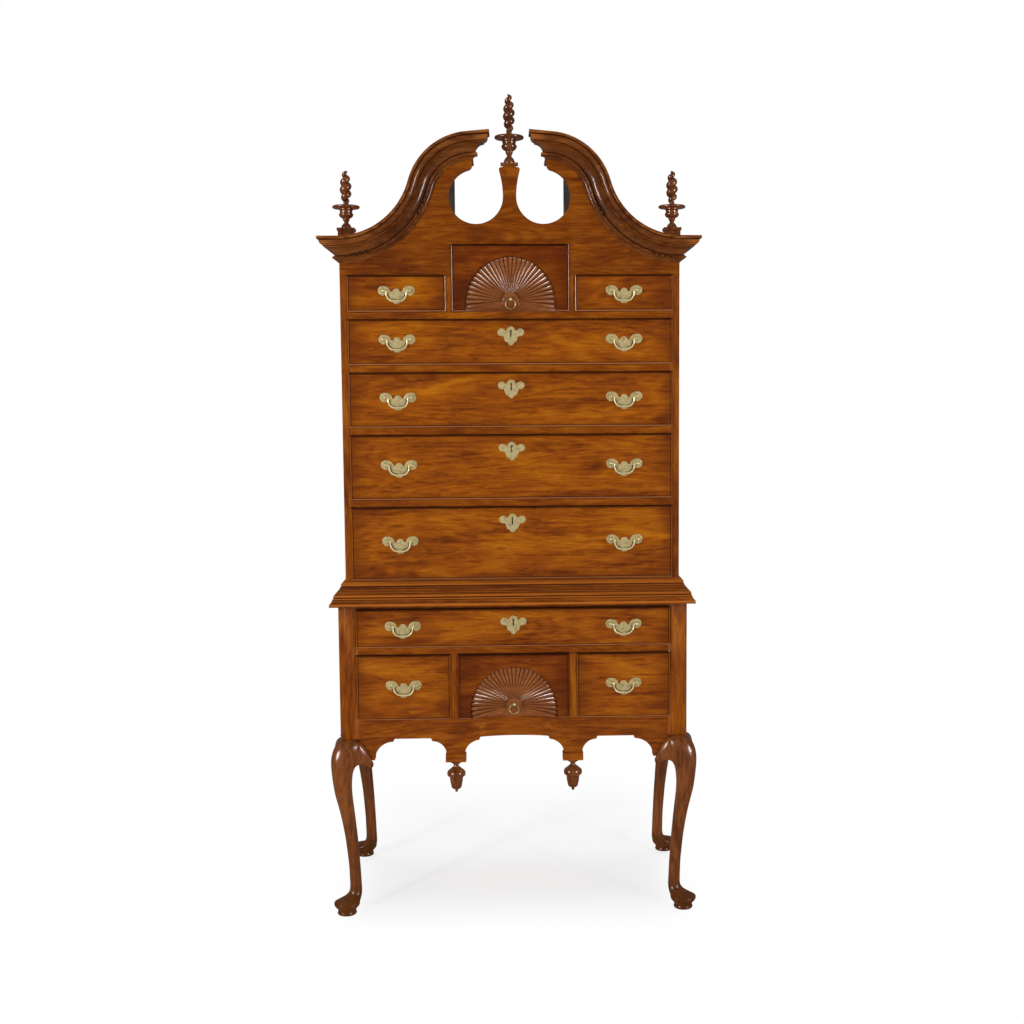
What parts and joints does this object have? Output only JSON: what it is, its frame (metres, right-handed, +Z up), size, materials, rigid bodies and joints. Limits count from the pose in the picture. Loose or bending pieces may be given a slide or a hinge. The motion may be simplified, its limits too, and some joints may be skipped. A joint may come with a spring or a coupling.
{
  "type": "highboy",
  "caption": "Tall cherry chest of drawers with a broken-scroll bonnet top, on a stand with cabriole legs; carved fan drawers, brass bail pulls and turned finials.",
  "frame": {"origin": "on the floor, under the middle of the whole piece's box", "axes": "+Z up, -Y towards the front (the drawers' faces), +X to the viewer's right"},
  "size_m": [0.997, 0.5431, 2.1845],
  "materials": {
    "cherry": "glossy varnished cherry",
    "secondary_wood": "plain unvarnished pine",
    "brass": "pale aged brass"
  },
  "bodies": {
    "case": {"front_legs": "cherry", "back_legs": "cherry", "stand_sides": "cherry", "stand_apron": "cherry", "stand_rails": "cherry", "acorn_drops": "cherry", "waist_moulding": "cherry", "drawer_runners": "secondary_wood", "chest_sides": "cherry", "chest_boards": "cherry", "chest_rails": "cherry", "back_boards": "secondary_wood", "scroll_board": "cherry", "cornice_moulding": "cherry", "bonnet_hood": "cherry", "finial_plinths": "cherry", "finials": "cherry"},
    "stand_left_drawer": {"stand_left_drawer": "cherry", "stand_left_drawer_brasses": "brass"},
    "stand_left_drawer_left_bail": {"stand_left_drawer_left_bail": "brass"},
    "stand_fan_drawer": {"stand_fan_drawer": "cherry", "stand_fan_drawer_brasses": "brass"},
    "stand_fan_drawer_ring": {"stand_fan_drawer_ring": "brass"},
    "stand_right_drawer": {"stand_right_drawer": "cherry", "stand_right_drawer_brasses": "brass"},
    "stand_right_drawer_right_bail": {"stand_right_drawer_right_bail": "brass"},
    "stand_long_drawer": {"stand_long_drawer": "cherry", "stand_long_drawer_brasses": "brass"},
    "stand_long_drawer_left_bail": {"stand_long_drawer_left_bail": "brass"},
    "stand_long_drawer_right_bail": {"stand_long_drawer_right_bail": "brass"},
    "stand_long_drawer_lock_bolt": {"stand_long_drawer_lock_bolt": "brass"},
    "long_drawer_1": {"long_drawer_1": "cherry", "long_drawer_1_brasses": "brass"},
    "long_drawer_1_left_bail": {"long_drawer_1_left_bail": "brass"},
    "long_drawer_1_right_bail": {"long_drawer_1_right_bail": "brass"},
    "long_drawer_1_lock_bolt": {"long_drawer_1_lock_bolt": "brass"},
    "long_drawer_2": {"long_drawer_2": "cherry", "long_drawer_2_brasses": "brass"},
    "long_drawer_2_left_bail": {"long_drawer_2_left_bail": "brass"},
    "long_drawer_2_right_bail": {"long_drawer_2_right_bail": "brass"},
    "long_drawer_2_lock_bolt": {"long_drawer_2_lock_bolt": "brass"},
    "long_drawer_3": {"long_drawer_3": "cherry", "long_drawer_3_brasses": "brass"},
    "long_drawer_3_left_bail": {"long_drawer_3_left_bail": "brass"},
    "long_drawer_3_right_bail": {"long_drawer_3_right_bail": "brass"},
    "long_drawer_3_lock_bolt": {"long_drawer_3_lock_bolt": "brass"},
    "long_drawer_4": {"long_drawer_4": "cherry", "long_drawer_4_brasses": "brass"},
    "long_drawer_4_left_bail": {"long_drawer_4_left_bail": "brass"},
    "long_drawer_4_right_bail": {"long_drawer_4_right_bail": "brass"},
    "long_drawer_4_lock_bolt": {"long_drawer_4_lock_bolt": "brass"},
    "top_left_drawer": {"top_left_drawer": "cherry", "top_left_drawer_brasses": "brass"},
    "top_left_drawer_left_bail": {"top_left_drawer_left_bail": "brass"},
    "top_fan_drawer": {"top_fan_drawer": "cherry", "top_fan_drawer_brasses": "brass"},
    "top_fan_drawer_ring": {"top_fan_drawer_ring": "brass"},
    "top_right_drawer": {"top_right_drawer": "cherry", "top_right_drawer_brasses": "brass"},
    "top_right_drawer_right_bail": {"top_right_drawer_right_bail": "brass"}
  },
  "joints": [
    {"name": "stand_left_drawer_slide", "type": "slide", "parent": "case", "child": "stand_left_drawer", "axis": [0, -1, 0], "range_m": [0, 0.3]},
    {"name": "stand_left_drawer_left_bail_hinge", "type": "hinge", "parent": "stand_left_drawer", "child": "stand_left_drawer_left_bail", "pos_m": [-0.2945, -0.25507, 0.63155], "axis": [-1, 0, 0], "range_deg": [0, 100]},
    {"name": "stand_fan_drawer_slide", "type": "slide", "parent": "case", "child": "stand_fan_drawer", "axis": [0, -1, 0], "range_m": [0, 0.3]},
    {"name": "stand_fan_drawer_ring_hinge", "type": "hinge", "parent": "stand_fan_drawer", "child": "stand_fan_drawer_ring", "pos_m": [0, -0.22323, 0.5688], "axis": [-1, 0, 0], "range_deg": [0, 90]},
    {"name": "stand_right_drawer_slide", "type": "slide", "parent": "case", "child": "stand_right_drawer", "axis": [0, -1, 0], "range_m": [0, 0.3]},
    {"name": "stand_right_drawer_right_bail_hinge", "type": "hinge", "parent": "stand_right_drawer", "child": "stand_right_drawer_right_bail", "pos_m": [0.2945, -0.25507, 0.63155], "axis": [-1, 0, 0], "range_deg": [0, 100]},
    {"name": "stand_long_drawer_slide", "type": "slide", "parent": "case", "child": "stand_long_drawer", "axis": [0, -1, 0], "range_m": [0, 0.3]},
    {"name": "stand_long_drawer_left_bail_hinge", "type": "hinge", "parent": "stand_long_drawer", "child": "stand_long_drawer_left_bail", "pos_m": [-0.2945, -0.25507, 0.7913], "axis": [-1, 0, 0], "range_deg": [0, 100]},
    {"name": "stand_long_drawer_right_bail_hinge", "type": "hinge", "parent": "stand_long_drawer", "child": "stand_long_drawer_right_bail", "pos_m": [0.2945, -0.25507, 0.7913], "axis": [-1, 0, 0], "range_deg": [0, 100]},
    {"name": "stand_long_drawer_lock_bolt_slide", "type": "slide", "parent": "stand_long_drawer", "child": "stand_long_drawer_lock_bolt", "axis": [0, 0, 1], "range_m": [0, 0.007]},
    {"name": "long_drawer_1_slide", "type": "slide", "parent": "case", "child": "long_drawer_1", "axis": [0, -1, 0], "range_m": [0, 0.3]},
    {"name": "long_drawer_1_left_bail_hinge", "type": "hinge", "parent": "long_drawer_1", "child": "long_drawer_1_left_bail", "pos_m": [-0.29875, -0.23507, 1.0168], "axis": [-1, 0, 0], "range_deg": [0, 100]},
    {"name": "long_drawer_1_right_bail_hinge", "type": "hinge", "parent": "long_drawer_1", "child": "long_drawer_1_right_bail", "pos_m": [0.29875, -0.23507, 1.0168], "axis": [-1, 0, 0], "range_deg": [0, 100]},
    {"name": "long_drawer_1_lock_bolt_slide", "type": "slide", "parent": "long_drawer_1", "child": "long_drawer_1_lock_bolt", "axis": [0, 0, 1], "range_m": [0, 0.007]},
    {"name": "long_drawer_2_slide", "type": "slide", "parent": "case", "child": "long_drawer_2", "axis": [0, -1, 0], "range_m": [0, 0.3]},
    {"name": "long_drawer_2_left_bail_hinge", "type": "hinge", "parent": "long_drawer_2", "child": "long_drawer_2_left_bail", "pos_m": [-0.29875, -0.23507, 1.21955], "axis": [-1, 0, 0], "range_deg": [0, 100]},
    {"name": "long_drawer_2_right_bail_hinge", "type": "hinge", "parent": "long_drawer_2", "child": "long_drawer_2_right_bail", "pos_m": [0.29875, -0.23507, 1.21955], "axis": [-1, 0, 0], "range_deg": [0, 100]},
    {"name": "long_drawer_2_lock_bolt_slide", "type": "slide", "parent": "long_drawer_2", "child": "long_drawer_2_lock_bolt", "axis": [0, 0, 1], "range_m": [0, 0.007]},
    {"name": "long_drawer_3_slide", "type": "slide", "parent": "case", "child": "long_drawer_3", "axis": [0, -1, 0], "range_m": [0, 0.3]},
    {"name": "long_drawer_3_left_bail_hinge", "type": "hinge", "parent": "long_drawer_3", "child": "long_drawer_3_left_bail", "pos_m": [-0.29875, -0.23507, 1.39755], "axis": [-1, 0, 0], "range_deg": [0, 100]},
    {"name": "long_drawer_3_right_bail_hinge", "type": "hinge", "parent": "long_drawer_3", "child": "long_drawer_3_right_bail", "pos_m": [0.29875, -0.23507, 1.39755], "axis": [-1, 0, 0], "range_deg": [0, 100]},
    {"name": "long_drawer_3_lock_bolt_slide", "type": "slide", "parent": "long_drawer_3", "child": "long_drawer_3_lock_bolt", "axis": [0, 0, 1], "range_m": [0, 0.007]},
    {"name": "long_drawer_4_slide", "type": "slide", "parent": "case", "child": "long_drawer_4", "axis": [0, -1, 0], "range_m": [0, 0.3]},
    {"name": "long_drawer_4_left_bail_hinge", "type": "hinge", "parent": "long_drawer_4", "child": "long_drawer_4_left_bail", "pos_m": [-0.29875, -0.23507, 1.5493], "axis": [-1, 0, 0], "range_deg": [0, 100]},
    {"name": "long_drawer_4_right_bail_hinge", "type": "hinge", "parent": "long_drawer_4", "child": "long_drawer_4_right_bail", "pos_m": [0.29875, -0.23507, 1.5493], "axis": [-1, 0, 0], "range_deg": [0, 100]},
    {"name": "long_drawer_4_lock_bolt_slide", "type": "slide", "parent": "long_drawer_4", "child": "long_drawer_4_lock_bolt", "axis": [0, 0, 1], "range_m": [0, 0.007]},
    {"name": "top_left_drawer_slide", "type": "slide", "parent": "case", "child": "top_left_drawer", "axis": [0, -1, 0], "range_m": [0, 0.3]},
    {"name": "top_left_drawer_left_bail_hinge", "type": "hinge", "parent": "top_left_drawer", "child": "top_left_drawer_left_bail", "pos_m": [-0.29875, -0.23507, 1.67605], "axis": [-1, 0, 0], "range_deg": [0, 100]},
    {"name": "top_fan_drawer_slide", "type": "slide", "parent": "case", "child": "top_fan_drawer", "axis": [0, -1, 0], "range_m": [0, 0.3]},
    {"name": "top_fan_drawer_ring_hinge", "type": "hinge", "parent": "top_fan_drawer", "child": "top_fan_drawer_ring", "pos_m": [0, -0.20322, 1.6543], "axis": [-1, 0, 0], "range_deg": [0, 90]},
    {"name": "top_right_drawer_slide", "type": "slide", "parent": "case", "child": "top_right_drawer", "axis": [0, -1, 0], "range_m": [0, 0.3]},
    {"name": "top_right_drawer_right_bail_hinge", "type": "hinge", "parent": "top_right_drawer", "child": "top_right_drawer_right_bail", "pos_m": [0.29875, -0.23507, 1.67605], "axis": [-1, 0, 0], "range_deg": [0, 100]}
  ]
}
